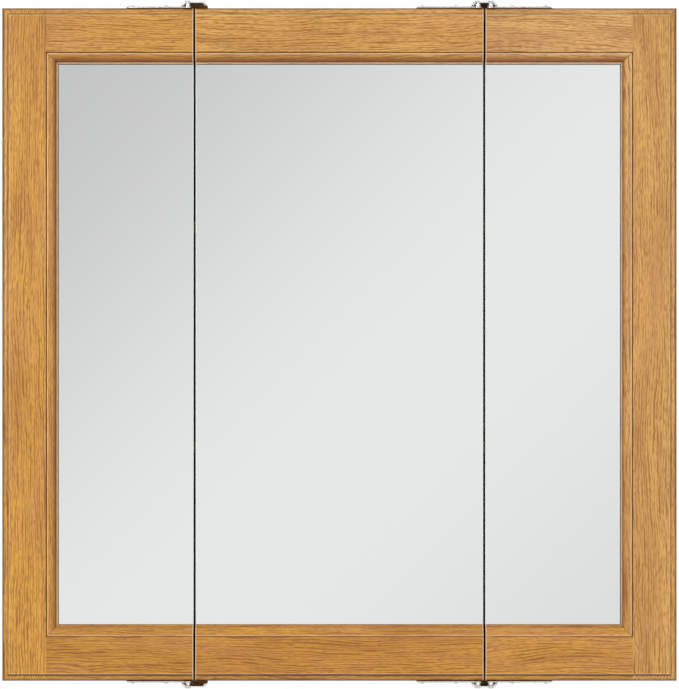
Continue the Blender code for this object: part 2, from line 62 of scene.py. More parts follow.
BOX_FRONT_Y = SIDE_LOW.y
INSIDE_X = SIDE_LOW.x
INSIDE_Z = TOP_LOW.z

# Moulding, measured inwards from the doors' outer edge and back from their face
FLAT_END = 0.050
FRAME_W = STILE_HIGH.x - STILE_LOW.x
BEAD_W = 0.0070
BEAD_STEP = 0.0012
BEAD_R = 0.0056
QUIRK_W = 0.0008
QUIRK_D = 0.0019
CREST_D = 0.0008  # the highest line of the moulded inner edge
OVOLO_D = 0.0058
FILLET_W = 0.0027
FILLET_STEP = 0.0006
LIP_D = 0.010
REBATE_W = 0.009
BEAD_STEPS = 12
OVOLO_STEPS = 16
ARRIS = 0.0003  # worn-round edge of the wood
JOINT_LINE = 0.00005  # hairline between a rail and a stile
CUT_END_EASE = 0.0005  # sanded edge at a rail's cut end, beside the gap between doors

# Glass
MIRROR_CHAMFER = 0.0009

# Hinges
STRAP_BOSS_R = 0.0046
STRAP_FRONT = 0.0012
STRAP_BACK = 0.0098
STRAP_NECK = 0.010
STRAP_CORNER_R = 0.0025
STRAP_EDGE = 0.0003
STRAP_SCREWS = (0.0246, 0.0626)
STRAP_HOLE_R = 0.0021
PIVOT_R = 0.0020
PIVOT_HOLE_R = 0.0023
SHOULDER_R = 0.0033
HEAD_R = 0.0036
BRIDGE_T = 0.0012
BRIDGE_FLARE = 0.0025
BRIDGE_NOSE_CORNER = 0.0015
BRIDGE_OVERHANG = 0.0005
BRIDGE_RAMP = 0.009
BRIDGE_RAMP_ROWS = 10
BRIDGE_SIDE_LOW = 0.0026
BRIDGE_EDGE = 0.00035
SEAT_GAP = 0.0003
PIVOT_EDGE = 0.0003
PIVOT_PIN_H = 0.0020  # from a pivot's lower end up to its shoulder
SHOULDER_FROM_TIP = 0.0032
HEAD_H = 0.0014
HEAD_RIM_H = 0.0007
HEAD_DIMPLE_D = 0.0003

# Screws
PAN_HEAD_R = 0.0034
PAN_HEAD_H = 0.0018
SMALL_HEAD_SCALE = 0.72
SHANK_R = 0.0016
SHANK_L = 0.0100
THREADS = 9
RECESS_REACH = 0.0019
RECESS_HALF_W = 0.00042
RECESS_D = 0.0011

# Catches, strikes and bumpers
CATCH_CORNER = 0.0015
CATCH_EDGE = 0.0003
CATCH_PLATE_EDGE = 0.00015
CATCH_FACE_W = 0.018
CATCH_FACE_H = 0.0036
CATCH_FACE_D = 0.0010
CATCH_FACE_EXTRA = 0.0005  # cut deeper than that, so that they stay clear of the bottom
CATCH_PLATE_T = 0.0008
CATCH_PLATE_D = 0.0004  # how far the plates lie back in the face
CATCH_RUN = 0.0001  # between the face's edge and the plates
CATCH_SCREW_X = 0.0090
CATCH_SCREW_BACK = 0.0012
MAGNET_INSET = 0.0006
CATCH_PLATE_REACH = 0.0004  # how far the plates and magnet run on behind the face's depth
STRIKE_CORNER = 0.0015
STRIKE_EDGE = 0.0003
STRIKE_HOLE_R = 0.0017
STRIKE_HOLE_REACH = 0.003
STRIKE_SCREW_SCALE = 0.42
STRIKE_SCREW_SUNK = 0.0011
BUMPER_R = 0.0042
BUMPER_H = 0.0022
BUMPER_FROM_END = 0.030

# Box
PIN_R = 0.0025
PIN_COLLAR_R = 0.0042
PIN_SUNK = 0.008
PIN_HOLE_R = 0.0028
PIN_EDGE = 0.0004
PIN_COLLAR_T = 0.0010
PIN_ROW_PITCH = 0.032
PIN_ROWS = 5
PANEL_EDGE = 0.0004
BACK_T = 0.0032
BACK_LAND = 0.0073
BACK_SUNK = 0.0003
WALL_SCREW_R = 0.0028
WALL_SCREWS = 0.2032  # from the middle to each inner wall screw
WALL_SCREW_EDGE = 0.045
WALL_SCREW_REACH = 0.03  # how deep the wall screws' holes are cut, right through
STAPLE_W = 0.0105
STAPLE_T = 0.0011
STAPLE_PITCH = 0.085
STAPLE_D = 0.0004  # how deep a staple lies in the back panel
STAPLE_BACK = 0.00005  # how far it stays clear of the wall
STAPLE_EDGE = 0.00012
CUT_SPARE = 0.001  # how far a cutting tool runs on past what it cuts

# Picture
CAMERA_AWAY = 4.0  # from the doors' face
PICTURE_H = 0.7774  # height of the picture at the doors' face
CAMERA_X = 0.0001
SENSOR_W = 36.0  # millimetres, as the lens is
FLOOR_Z = -0.62
FLOOR_HALF = 1.8

# Lamps: name, place, size and watts
LAMPS = (
    ("key", (-1.8, -2.9, 0.7), 1.6, 43),
    ("fill", (1.9, -2.9, 0.4), 1.8, 31),
    ("overhead", (0.0, -1.2, 2.6), 1.6, 11),
    ("behind", (1.2, 2.4, 1.4), 1.6, 16),
)

SIDES = (("left", -1), ("right", 1))
ENDS = (("top", 1), ("bottom", -1))
FINE_ROUND = 40
HOLE_ROUND = 32
CORNER_STEPS = 6


# ---- node trees


class Nodes:
    """Adds nodes to a tree in few words. An input given as a socket is linked, and any other is set."""

    def __init__(self, tree):
        self.tree = tree
        tree.nodes.clear()

    def add(self, kind, inputs=None, **settings):
        node = self.tree.nodes.new(kind)
        for key, value in settings.items():
            setattr(node, key, value)
        for key, value in (inputs or {}).items():
            if isinstance(value, bpy.types.NodeSocket):
                self.tree.links.new(value, node.inputs[key])
            else:
                node.inputs[key].default_value = value
        return node

    def math(self, operation, a, b=0.0, clamp=False):
        return self.add("ShaderNodeMath", {0: a, 1: b}, operation=operation, use_clamp=clamp).outputs[0]

    def plus(self, a, b, clamp=False):
        return self.math("ADD", a, b, clamp)

    def minus(self, a, b, clamp=False):
        return self.math("SUBTRACT", a, b, clamp)

    def times(self, a, b):
        return self.math("MULTIPLY", a, b)

    def apart(self, a, b):
        """How far apart two values are."""
        return self.math("ABSOLUTE", self.minus(a, b))

    def ramp(self, value, low, high, to_low=0.0, to_high=1.0):
        """Runs smoothly from to_low to to_high as value goes from low to high."""
        inputs = {"Value": value, "From Min": low, "From Max": high, "To Min": to_low, "To Max": to_high}
        node = self.add("ShaderNodeMapRange", inputs, interpolation_type="SMOOTHSTEP")
        return node.outputs[0]

    def mix(self, factor, a, b):
        return self.add("ShaderNodeMix", {0: factor, 6: a, 7: b}, data_type="RGBA").outputs[2]

    def noise(self, place, stretch, detail, roughness=0.5):
        """Noise that is finer along an axis the more the place is stretched along it."""
        place = self.add("ShaderNodeVectorMath", {0: place, 1: stretch}, operation="MULTIPLY").outputs[0]
        inputs = {"Vector": place, "Scale": 1.0, "Detail": detail, "Roughness": roughness}
        return self.add("ShaderNodeTexNoise", inputs).outputs[0]

    def combine(self, x, y, z):
        return self.add("ShaderNodeCombineXYZ", {0: x, 1: y, 2: z}).outputs[0]

    def bump(self, height, strength, distance):
        inputs = {"Height": height, "Strength": strength, "Distance": distance}
        return self.add("ShaderNodeBump", inputs).outputs[0]

    def object_place(self):
        return self.add("ShaderNodeTexCoord").outputs["Object"]

    def split(self, vector):
        return self.add("ShaderNodeSeparateXYZ", {0: vector}).outputs

    def surface(self, **inputs):
        """A Principled BSDF on the material's output. A name's underscores stand for spaces."""
        named = {key.replace("_", " "): value for key, value in inputs.items()}
        shader = self.add("ShaderNodeBsdfPrincipled", named)
        self.add("ShaderNodeOutputMaterial", {"Surface": shader.outputs[0]})


def new_material(name):
    material = bpy.data.materials.new(name)
    material.use_nodes = True
    return material, Nodes(material.node_tree)


def rgb(red, green, blue):
    """The linear light of a colour given in 0 to 255 display values, by the sRGB curve."""
    linear = [((c / 255 + 0.055) / 1.055) ** 2.4 if c > 10 else c / 3295 for c in (red, green, blue)]
    return (*linear, 1.0)


# ---- materials

OAK_PORE = rgb(142, 84, 26)
OAK_BLUSH = rgb(204, 140, 84)
# Painted shade over the moulding's inner edge
OAK_SHADED = rgb(132, 68, 8)
# Pale: painted highlights on the moulding, and the sanded edge at a rail's cut end
OAK_SANDED_AND_HIGHLIGHT = rgb(252, 226, 192)
# Dark: the mitre's joint line, and painted shade lines in the moulding
OAK_JOINT_AND_PAINTED_SHADE = rgb(58, 26, 4)
OAK_END_GRAIN = rgb(92, 52, 20)
OAK_SPREAD = ((24, 24, 20), (-38, -40, -34))  # from a board's tint to its palest and deepest wood

# Painted shade lines along the moulding, at its outer edge, beside the bead's step, in the quirk, in the
# fillet's corner and at the mirror: place inwards, reach each way, strength, and strength on the bottom
# rails
PAINTED_SHADE_LINES = (
    (0.0, 0.0030, 0.75, 0.95),
    (BEAD_W, 0.0012, 0.45, 0.0),
    (BEAD_W, 0.0018, 0.0, 0.95),
    (FLAT_END + QUIRK_W / 2, 0.0010, 0.84, 0.10),
    (FRAME_W - FILLET_W, 0.0008, 0.88, 0.12),
    (FRAME_W, 0.0011, 0.92, 0.45),
)
# Painted highlight lines along the bead's edge and the ovolo's crest: place inwards, reach each way,
# strength, and strength on the bottom rails
PAINTED_HIGHLIGHT_LINES = (
    (BEAD_W + 0.0014, 0.0009, 0.14, 0.22),
    (FLAT_END + QUIRK_W + 0.0009, 0.0010, 0.34, 0.30),
)
MITRE_LINE_W = 0.0009
GRAIN_PITCH = 0.0030  # between the fine lines of the grain
GRAIN_SWAY = 1.7  # how many pitches they wander
MIRROR_LINE_W = 0.0010
OVOLO_SHADE = 0.92
STILE_SHADE = (0.66, 0.16)  # at the left and at the right, where the moulding faces the key light
FILLET_HIGHLIGHT = 0.42
MITRE_STRENGTH = (0.6, 0.2)  # elsewhere, and on the bottom rails


def wood_figure(nodes, axes, seed, pith, ring_width, taper):
    """Growth rings, pores and fibres of a flat-sawn board.

    The axes are the letters of the ways along, across and through the board. The pith is the tree's
    middle, as a place across and through it, and a slight taper draws the rings out into arches.
    """
    rng = random.Random(seed)
    place = dict(zip("XYZ", nodes.split(nodes.object_place())))
    along, across, through = (place[axis] for axis in axes)
    along = nodes.plus(along, rng.uniform(2, 40))
    board = nodes.combine(along, across, through)
    for stretch, detail, reach in (((3.2, 11, 11), 2.0, 0.034), ((26, 60, 60), 1.0, 0.0034)):
        wander = nodes.minus(nodes.noise(board, stretch, detail), 0.5)
        across = nodes.plus(across, nodes.times(wander, reach))
    sideways = nodes.minus(across, pith[0] + rng.uniform(-0.016, 0.016))
    below = nodes.minus(through, pith[1])
    sideways, below = (nodes.math("POWER", way, 2.0) for way in (sideways, below))
    radius = nodes.math("SQRT", nodes.plus(sideways, below))
    radius = nodes.plus(radius, nodes.times(along, taper))
    ring = nodes.math("FRACT", nodes.math("DIVIDE", radius, ring_width))
    early = nodes.minus(nodes.ramp(ring, 0.0, 0.10), nodes.ramp(ring, 0.22, 0.62), clamp=True)
    board = nodes.combine(along, across, through)
    pore_noise = nodes.noise(board, (130, 1250, 1250), 0.0)
    pore_noise = nodes.plus(pore_noise, nodes.times(early, 0.03))
    turns = nodes.math("DIVIDE", nodes.plus(across, through), GRAIN_PITCH)
    sway = nodes.noise(board, (9, 190, 190), 1.0)
    turns = nodes.plus(turns, nodes.times(sway, GRAIN_SWAY))
    lines = nodes.ramp(nodes.math("SINE", nodes.times(turns, 2 * math.pi)), -0.3, 1.0)
    breaks = nodes.noise(board, (34, 480, 480), 1.0)
    lines = nodes.times(lines, nodes.ramp(breaks, 0.38, 0.62, 0.15, 1.0))
    return {
        "early": early,
        "pores": nodes.ramp(pore_noise, 0.54, 0.64),
        "lines": lines,
        "fibre": nodes.noise(board, (18, 420, 420), 3.0, 0.6),
        "patch": nodes.noise(board, (6, 34, 34), 2.0),
        "blush": nodes.noise(board, (8, 46, 46), 2.0),
    }


def add_painted_light_and_wood_marks(nodes, colour, cut_ends):
    """Painted shade over the moulding's inner edge and in its steps, corners and edges, painted highlights
    on its fillet, bead and crest, a dark joint line along the mitre, and paler wood where a rail's cut end
    was sanded.

    A cut end is the x of a rail's end beside the gap between two doors. Its end grain is dark.
    """
    x, y, z = nodes.split(nodes.object_place())
    from_side = nodes.minus(HALF_W, nodes.math("ABSOLUTE", x))
    from_end = nodes.minus(HALF_H, nodes.math("ABSOLUTE", z))
    inwards = nodes.math("MINIMUM", from_side, from_end)
    front = nodes.ramp(y, FACE_Y + LIP_D, FACE_Y + LIP_D + ARRIS, 1.0, 0.0)
    on_rail = nodes.math("LESS_THAN", from_end, from_side)
    lit = nodes.times(on_rail, nodes.math("LESS_THAN", z, 0.0))

    def either(elsewhere, when_lit):
        """One value on the bottom rails, whose moulding faces up to the light, and another elsewhere."""
        return nodes.plus(nodes.times(lit, when_lit - elsewhere), elsewhere)

    def line(core, place, reach, strength, when_lit):
        away = nodes.ramp(nodes.apart(inwards, place), core, reach, 1.0, 0.0)
        return nodes.times(away, either(strength, when_lit))

    fillet = FRAME_W - FILLET_W
    mirror_line = FRAME_W - MIRROR_LINE_W
    # Painted shade: the moulded inner edge darkens towards the fillet, not on the bottom rails, which face
    # up to the light, and less on the right stile, which faces the key light
    shade = nodes.ramp(inwards, FLAT_END + 0.0010, fillet, 0.0, OVOLO_SHADE)
    shade = nodes.times(shade, nodes.ramp(inwards, fillet, fillet + ARRIS, 1.0, 0.0))
    shade = nodes.times(shade, either(1.0, 0.0))
    stile_shade = nodes.ramp(x, -HALF_W, HALF_W, *STILE_SHADE)
    shade = nodes.times(shade, nodes.math("MAXIMUM", on_rail, stile_shade))
    # Painted highlight on the fillet, fading out before the line at the mirror, and none on the bottom
    # rails
    pale = nodes.ramp(inwards, fillet + ARRIS, fillet + 2 * ARRIS, 0.0, 1.0)
    pale = nodes.times(pale, nodes.ramp(inwards, mirror_line - ARRIS, mirror_line, 1.0, 0.0))
    pale = nodes.times(pale, either(FILLET_HIGHLIGHT, 0.0))
    # Painted highlight lines along the bead's edge and the ovolo's crest
    for values in PAINTED_HIGHLIGHT_LINES:
        pale = nodes.math("MAXIMUM", pale, line(0.0002, *values))
    mitre = nodes.apart(from_side, from_end)
    mitre = nodes.times(nodes.ramp(mitre, 0.0, MITRE_LINE_W, 1.0, 0.0), either(*MITRE_STRENGTH))
    dark = nodes.times(mitre, nodes.math("GREATER_THAN", inwards, FLAT_END))
    # Painted shade lines in the moulding's steps and corners and at its edges
    for values in PAINTED_SHADE_LINES:
        dark = nodes.math("MAXIMUM", dark, line(0.0, *values))
    # Painted shade, then painted highlights, then the joint line and painted shade lines, on the front
    # surfaces only
    colour = nodes.mix(nodes.times(shade, front), colour, OAK_SHADED)
    colour = nodes.mix(nodes.times(pale, front), colour, OAK_SANDED_AND_HIGHLIGHT)
    colour = nodes.mix(nodes.times(dark, front), colour, OAK_JOINT_AND_PAINTED_SHADE)
    for end in cut_ends:
        away = nodes.apart(x, end)
        colour = nodes.mix(nodes.ramp(away, CUT_END_EASE, 2 * CUT_END_EASE, 0.85, 0.0), colour, OAK_SANDED_AND_HIGHLIGHT)
        colour = nodes.mix(nodes.ramp(away, 0.00005, 0.00012, 0.66, 0.0), colour, OAK_END_GRAIN)
    return colour


def oak(name, axes, seed, pith_across, tint, cut_ends=(), ring_width=0.0048, taper=0.02):
    """Honey-stained open-grained oak under satin lacquer."""
    material, nodes = new_material(name)
    pith = (pith_across, FACE_Y + random.Random(seed).uniform(0.030, 0.060))
    figure = wood_figure(nodes, axes, seed, pith, ring_width, taper)
    tone = nodes.times(figure["early"], 0.12)
    tone = nodes.plus(tone, nodes.ramp(figure["patch"], 0.36, 0.66, 0.0, 0.28))
    tone = nodes.plus(tone, nodes.times(figure["lines"], 0.86))
    tone = nodes.plus(tone, nodes.ramp(figure["fibre"], 0.30, 0.72, 0.0, 0.05), clamp=True)
    pale, deep = (rgb(*(max(0, c + shift) for c, shift in zip(tint, shifts))) for shifts in OAK_SPREAD)
    colour = nodes.mix(tone, pale, deep)
    colour = nodes.mix(nodes.ramp(figure["blush"], 0.46, 0.66, 0.0, 0.30), colour, OAK_BLUSH)
    colour = nodes.mix(nodes.times(figure["pores"], 0.50), colour, OAK_PORE)
    colour = add_painted_light_and_wood_marks(nodes, colour, cut_ends)
    height = nodes.minus(nodes.times(figure["fibre"], 0.25), figure["pores"])
    nodes.surface(
        Base_Color=colour,
        Roughness=nodes.ramp(figure["pores"], 0.0, 1.0, 0.36, 0.56),
        Normal=nodes.bump(height, 0.35, 0.0002),
        Coat_Weight=0.20,
        Coat_Roughness=0.18,
    )
    return material


def laminate(name, axes, seed, pith):
    """The box's printed oak laminate: flatter and paler than the doors, with a fine embossed grain."""
    material, nodes = new_material(name)
    figure = wood_figure(nodes, axes, seed, pith, 0.0062, 0.015)
    tone = nodes.times(figure["early"], 0.45)
    tone = nodes.plus(tone, nodes.ramp(figure["patch"], 0.3, 0.7, 0.0, 0.4))
    colour = nodes.mix(tone, rgb(216, 170, 112), rgb(196, 144, 86))
    colour = nodes.mix(nodes.times(figure["pores"], 0.45), colour, rgb(158, 108, 60))
    nodes.surface(
        Base_Color=colour,
        Roughness=nodes.ramp(figure["fibre"], 0.3, 0.7, 0.42, 0.55),
        Normal=nodes.bump(figure["pores"], 0.15, -0.0001),
    )
    return material


def hardboard(name):
    """Raw brown hardboard: pressed fibres, a little lighter where they lie on the surface."""
    material, nodes = new_material(name)
    place = nodes.object_place()
    fibres = nodes.noise(place, (420, 420, 420), 5.0, 0.7)
    blotch = nodes.noise(place, (14, 14, 14), 3.0)
    colour = nodes.mix(nodes.ramp(fibres, 0.35, 0.68), rgb(92, 60, 36), rgb(138, 97, 62))
    colour = nodes.mix(nodes.ramp(blotch, 0.35, 0.7, 0.0, 0.45), colour, rgb(112, 76, 48))
    nodes.surface(Base_Color=colour, Roughness=0.78, Normal=nodes.bump(fibres, 0.4, 0.0003))
    return material


def silvering():
    """The silvered face, with the faintest wipe marks in its gloss."""
    material, nodes = new_material("mirror_silver")
    wipes = nodes.noise(nodes.object_place(), (9, 9, 3.5), 4.0, 0.6)
    nodes.surface(
        Base_Color=(0.955, 0.97, 0.963, 1.0),
        Metallic=1.0,
        Roughness=nodes.ramp(wipes, 0.45, 0.85, 0.0, 0.035),
    )
    return material


def grainy_material(name, stretch, detail, deep, light):
    """A material, its nodes, a noise, and the colour that the noise mixes from two."""
    material, nodes = new_material(name)
    grain = nodes.noise(nodes.object_place(), stretch, detail)
    return material, nodes, grain, nodes.mix(grain, rgb(*deep), rgb(*light))


def glass_edge(name, deep, light):
    """A polished edge of the glass, with fine grinding marks along it."""
    material, nodes, marks, colour = grainy_material(name, (2600, 2600, 60), 2.0, deep, light)
    gloss = nodes.ramp(marks, 0.3, 0.7, 0.08, 0.22)
    nodes.surface(Base_Color=colour, Roughness=gloss, Specular_IOR_Level=0.8)
    return material


def mirror_paint():
    """The grey paint that protects the silver from behind."""
    look = ("mirror_back_paint", (300, 300, 300), 3.0, (96, 98, 98), (122, 124, 122))
    material, nodes, grain, colour = grainy_material(*look)
    nodes.surface(Base_Color=colour, Roughness=0.6, Normal=nodes.bump(grain, 0.2, 0.0001))
    return material


def steel(name, stretch, shade=1.0):
    """Bright nickel plate over pressed steel, with rolling lines along one way and a little grime."""
    material, nodes = new_material(name)
    place = nodes.object_place()
    lines = nodes.noise(place, stretch, 3.0, 0.6)
    grime = nodes.noise(place, (160, 160, 160), 4.0, 0.65)
    bright = tuple(c * shade for c in (0.89, 0.885, 0.87)) + (1.0,)
    dull = tuple(c * shade for c in (0.56, 0.54, 0.50)) + (1.0,)
    nodes.surface(
        Base_Color=nodes.mix(nodes.ramp(grime, 0.50, 0.82), bright, dull),
        Metallic=1.0,
        Roughness=nodes.ramp(lines, 0.3, 0.75, 0.16, 0.36),
        Normal=nodes.bump(lines, 0.12, 0.00005),
    )
    return material


def magnet():
    """Sintered black magnet between the catch's steel plates."""
    look = ("catch_magnet", (900, 900, 900), 3.0, (38, 38, 40), (64, 62, 60))
    material, nodes, _, colour = grainy_material(*look)
    nodes.surface(Base_Color=colour, Roughness=0.7)
    return material


def moulded_plastic():
    """Off-white moulded plastic with a fine spark-eroded texture."""
    look = ("catch_plastic", (60, 60, 60), 2.0, (226, 221, 208), (212, 206, 192))
    material, nodes, _, colour = grainy_material(*look)
    sparks = nodes.noise(nodes.object_place(), (1500, 1500, 1500), 2.0)
    nodes.surface(Base_Color=colour, Roughness=0.42, Normal=nodes.bump(sparks, 0.15, 0.0001))
    return material


def bumper_rubber():
    """Soft translucent bumper, slightly cloudy."""
    look = ("bumper_rubber", (240, 240, 240), 3.0, (214, 214, 208), (236, 236, 232))
    material, nodes, cloud, colour = grainy_material(*look)
    nodes.surface(
        Base_Color=colour,
        Roughness=nodes.ramp(cloud, 0.3, 0.7, 0.25, 0.4),
        Subsurface_Weight=0.3,
        Subsurface_Radius=(0.002, 0.002, 0.002),
    )
    return material


# ---- mesh making


def add_loft(bm, sections, first_cap=True, last_cap=True):
    """Add a solid through outlines that all have the same number of points."""
    rings = [[bm.verts.new(point) for point in section] for section in sections]
    if first_cap:
        bm.faces.new(rings[0])
    if last_cap:
        bm.faces.new(rings[-1])
    for ring, following in zip(rings, rings[1:]):
        for i in range(len(ring)):
            j = (i + 1) % len(ring)
            bm.faces.new((ring[i], ring[j], following[j], following[i]))
    return rings


def add_turned(bm, profile, centre, axis, steps=FINE_ROUND):
    """Add a solid turned round an axis through centre, from (radius, distance along the axis) pairs."""
    axis = Vector(axis).normalized()
    across = axis.orthogonal().normalized()
    other = axis.cross(across)
    sections = []
    for radius, along in profile:
        middle = Vector(centre) + axis * along
        turn = [2 * math.pi * (i + 0.5) / steps for i in range(steps)]
        sections.append([middle + (across * math.cos(a) + other * math.sin(a)) * radius for a in turn])
    add_loft(bm, sections)
    return bm


def layered(layers):
    """A new mesh of a solid through outlines of (x, z) points, each with its own y."""
    bm = bmesh.new()
    add_loft(bm, [[(x, y, z) for x, z in outline] for outline, y in layers])
    return bm


def add_block(bm, low, high):
    """Add a block between two opposite corners, and give the mesh back."""
    low, high = Vector(low), Vector(high)
    bmesh.ops.create_cube(bm, size=1.0, matrix=Matrix.LocRotScale((low + high) / 2, None, high - low))
    return bm


def rounded(profile, radius, steps=3):
    """A profile's points with each inner corner rounded by up to radius."""
    out = [profile[0]]
    for before, here, after in zip(profile, profile[1:], profile[2:]):
        a, b, c = Vector(before), Vector(here), Vector(after)
        reach = min(radius, (a - b).length / 2.2, (c - b).length / 2.2)
        start, end = b + (a - b).normalized() * reach, b + (c - b).normalized() * reach
        for step in range(steps + 1):
            t = step / steps
            out.append(tuple(start.lerp(b, t).lerp(b.lerp(end, t), t)))
    out.append(profile[-1])
    return out


def inset(outline, by):
    """A closed outline of (a, b) points moved inwards by a distance."""
    points = [Vector(p) for p in outline]
    count = len(points)
    area = sum(points[i].cross(points[(i + 1) % count]) for i in range(count))
    side = 1.0 if area > 0 else -1.0
    moved = []
    for i, point in enumerate(points):
        before = (point - points[i - 1]).normalized()
        after = (points[(i + 1) % count] - point).normalized()
        normals = [Vector((-d.y, d.x)) * side for d in (before, after)]
        both = normals[0] + normals[1]
        scale = by / max(0.35, 1.0 + normals[0].dot(normals[1]))
        moved.append(tuple(point + both * scale))
    return moved


def finish_mesh(bm, name, sharp=35):
    bmesh.ops.remove_doubles(bm, verts=bm.verts[:], dist=1e-7)
    bmesh.ops.recalc_face_normals(bm, faces=bm.faces[:])
    mesh = bpy.data.meshes.new(name)
    bm.to_mesh(mesh)
    bm.free()
    mesh.shade_smooth()
    mesh.set_sharp_from_angle(angle=math.radians(sharp))
    return mesh


def add_object(name, data):
    piece = bpy.data.objects.new(name, data)
    bpy.context.scene.collection.objects.link(piece)
    return piece


def add_piece(name, bm, materials, body, nodes=(), sharp=35):
    """A piece that rides on a body. It stands for the CAD nodes given, if any."""
    mesh = finish_mesh(bm, name, sharp)
    piece = add_object(name, mesh)
    for material in materials:
        mesh.materials.append(material)
    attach(piece, body)
    if nodes:
        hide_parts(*nodes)
    return piece


def show(node, bm, material, body, sharp=35):
    """The piece that stands for one CAD node."""
    return add_piece(f"{node}_shown", bm, [material], body, [node], sharp)


def middle(node):
    """The middle of a CAD node's box."""
    low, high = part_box(node)
    return (low + high) / 2


def heights(node):
    """The lower and upper height of a hinge's node, outwards from the doors' edge."""
    return sorted(abs(corner.z) - HALF_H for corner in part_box(node))


def quarter_turn(steps):
    """The angles from 0 to 90 degrees in equal steps."""
    return [math.radians(90) * step / steps for step in range(steps + 1)]


def boolean(piece, tool_bm, operation="DIFFERENCE", sharp=35):
    """Cut a piece with a tool, or keep only what it shares with the tool, and keep the result's mesh."""
    tool = add_object("tool", finish_mesh(tool_bm, "tool"))
    modifier = piece.modifiers.new("Cut", "BOOLEAN")
    modifier.object, modifier.operation, modifier.solver = tool, operation, "EXACT"
    bpy.context.view_layer.update()
    evaluated = piece.evaluated_get(bpy.context.evaluated_depsgraph_get())
    mesh = bpy.data.meshes.new_from_object(evaluated)
    piece.modifiers.clear()
    piece.data = mesh
    mesh.shade_smooth()
    mesh.set_sharp_from_angle(angle=math.radians(sharp))
    bpy.data.objects.remove(tool)


def drill(piece, holes, blocks=(), sharp=35):
    """Cut round holes, each with a centre, an axis, a radius and a depth, and blocks from a piece."""
    tools = bmesh.new()
    for block in blocks:
        add_block(tools, *block)
    for centre, axis, radius, depth in holes:
        add_turned(tools, ((radius, -CUT_SPARE), (radius, depth)), centre, axis, HOLE_ROUND)
    boolean(piece, tools, sharp=sharp)


def soften(piece, width, angle=40):
    """Round a piece's edges a little, as pressing, moulding or sanding does."""
    bevel = piece.modifiers.new("Soft edges", "BEVEL")
    bevel.width = width
    bevel.segments = 2
    bevel.limit_method = "ANGLE"
    bevel.angle_limit = math.radians(angle)


# ---- doors


def moulding_profile():
    """The moulding's section as (distance inwards, depth) pairs, and the number of the joint's point."""
    profile = [(0.0, DOOR_T - ARRIS)]
    for angle in quarter_turn(BEAD_STEPS):
        profile.append((BEAD_R * (1 - math.cos(angle)), BEAD_STEP + BEAD_R * (1 - math.sin(angle))))
    profile += [(BEAD_W, BEAD_STEP), (BEAD_W, ARRIS), (BEAD_W + ARRIS, 0.0)]
    profile += [(FLAT_END - ARRIS, 0.0), (FLAT_END, ARRIS), (FLAT_END, QUIRK_D)]
    joint = len(profile) - 1
    start = FLAT_END + QUIRK_W
    crest = start + ARRIS * 2
    profile += [(start, QUIRK_D), (start, CREST_D + ARRIS), (start + ARRIS * 0.6, CREST_D + ARRIS * 0.3)]
    ovolo_w = FRAME_W - FILLET_W - crest
    for angle in quarter_turn(OVOLO_STEPS):
        profile.append((crest + ovolo_w * math.sin(angle), CREST_D + OVOLO_D * (1 - math.cos(angle))))
    fillet = CREST_D + OVOLO_D + FILLET_STEP
    profile += [(FRAME_W - FILLET_W, fillet), (FRAME_W - ARRIS, fillet), (FRAME_W, fillet + ARRIS)]
    profile += [(FRAME_W, LIP_D), (FRAME_W - REBATE_W, LIP_D), (FRAME_W - REBATE_W, DOOR_T)]
    profile += [(FLAT_END, DOOR_T), (ARRIS, DOOR_T)]
    return profile, joint


def add_rail(name, body, end, stile_side, material):
    """A rail: moulded along its length, sanded at a cut end, and mitred into its stile's moulding."""
    low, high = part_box(name)
    profile, joint = moulding_profile()
    rear_joint = len(profile) - 2
    bm = bmesh.new()

    def ring(x_of, section):
        return [(x_of(u), FACE_Y + depth, end * (HALF_H - u)) for u, depth in section]

    ends = []
    for side, edge in ((-1, low.x), (1, high.x)):
        if side == stile_side:
            at = side * (HALF_W - FLAT_END - JOINT_LINE)
            ends.append([ring(lambda u: at - side * max(0.0, u - FLAT_END), profile)])
        else:
            eased = ring(lambda u: edge, inset(profile, CUT_END_EASE))
            ends.append([eased, ring(lambda u: edge - side * CUT_END_EASE, profile)])
    sections = ends[0] + ends[1][::-1]
    rings = add_loft(bm, sections, stile_side >= 0, stile_side <= 0)
    if stile_side:
        mitred = rings[0] if stile_side < 0 else rings[-1]
        bm.faces.new(mitred[: joint + 1] + mitred[rear_joint:])
        bm.faces.new(mitred[joint : rear_joint + 1])
    show(name, bm, material, body, sharp=28)


def add_stile(name, body, side, material):
    """A stile: the moulding turns its outer corners, and a rail butts on its straight inner edge."""
    profile, _ = moulding_profile()
    bm = bmesh.new()
    rings = []
    for inwards, depth in profile:
        x, z = HALF_W - inwards, HALF_H - inwards
        corners = ((-x, -z), (x, -z), (x, z), (-x, z))
        rings.append([bm.verts.new((a, FACE_Y + depth, b)) for a, b in corners])
    for ring, following in zip(rings, rings[1:] + rings[:1]):
        for i in range(4):
            j = (i + 1) % 4
            bm.faces.new((ring[i], ring[j], following[j], following[i]))
    stile = show(name, bm, material, body)
    spare = CUT_SPARE
    upper = [
        (HALF_W + spare, HALF_H + spare),
        (HALF_W - FLAT_END, HALF_H + spare),
        (HALF_W - FLAT_END, HALF_H - FLAT_END),
        (HALF_W - FRAME_W - spare, HALF_H - FRAME_W - spare),
    ]
    outline = [(side * x, z) for x, z in upper + [(x, -z) for x, z in reversed(upper)]]
    keep = layered([(outline, y) for y in (FACE_Y - spare, DOOR_BACK_Y + spare)])
    boolean(stile, keep, "INTERSECT", sharp=28)


